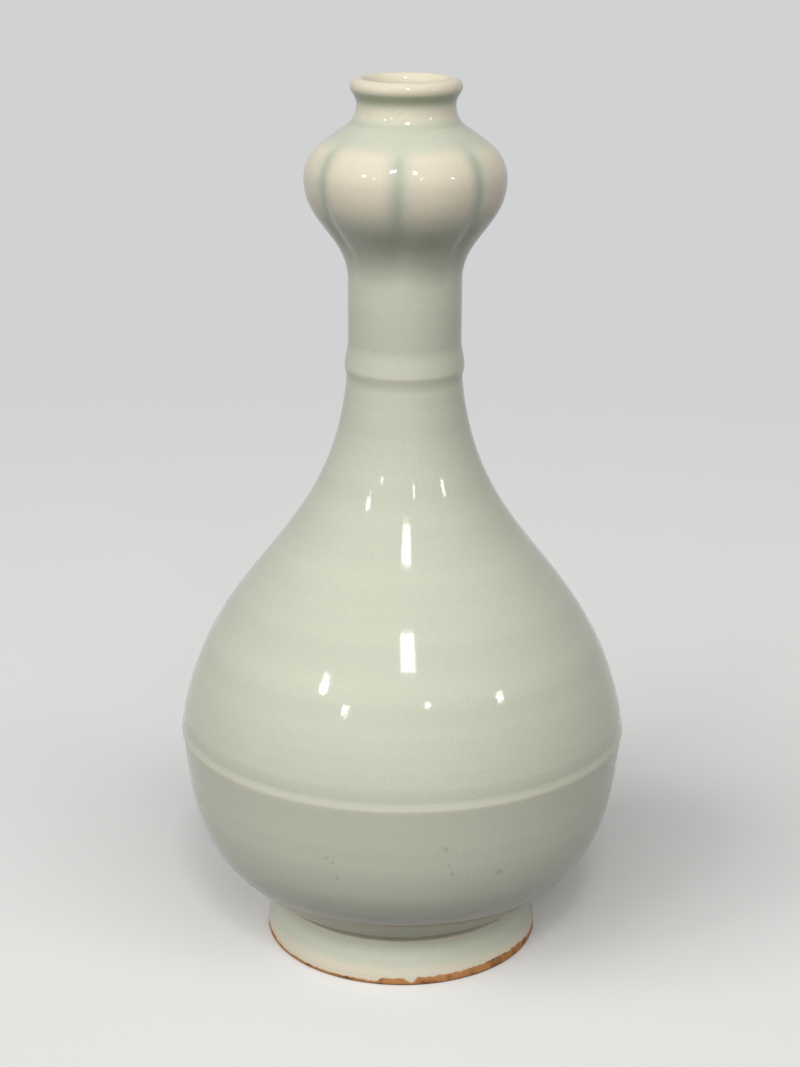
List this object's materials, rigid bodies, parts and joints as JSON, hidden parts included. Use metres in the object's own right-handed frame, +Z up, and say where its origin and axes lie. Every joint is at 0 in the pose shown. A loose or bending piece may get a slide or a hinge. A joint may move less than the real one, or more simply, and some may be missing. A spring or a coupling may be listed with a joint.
{
  "type": "garlic head vase",
  "caption": "Celadon stoneware vase with a pear-shaped belly, raised string bands, a slender neck, a lobed garlic-bulb head and a small rolled lip, on a low flared foot.",
  "frame": {"origin": "centre of the foot rim on the table", "axes": "+Z up the axis of the vase, -Y towards the viewer of the picture"},
  "size_m": [0.1432, 0.1432, 0.28],
  "materials": {
    "body_glaze": "glossy celadon glaze over pale stoneware",
    "string_glaze": "glossy celadon glaze, thin over the raised string",
    "head_glaze": "glossy celadon glaze, thick in the grooves",
    "lip_glaze": "glossy celadon glaze, thin and pale over the lip",
    "foot_glaze": "thin celadon glaze above a bare orange-brown rim",
    "luting_slip": "fired clay slip in the seams"
  },
  "bodies": {
    "root": {"foot_ring": "foot_glaze", "foot_slip": "luting_slip", "belly_bowl": "body_glaze", "belly_slip": "luting_slip", "belly_string": "string_glaze", "shoulder": "body_glaze", "neck_slip": "luting_slip", "neck_string": "string_glaze", "neck": "body_glaze", "head_slip": "luting_slip", "garlic_head": "head_glaze", "mouth_slip": "luting_slip", "mouth_rim": "lip_glaze"}
  },
  "joints": []
}
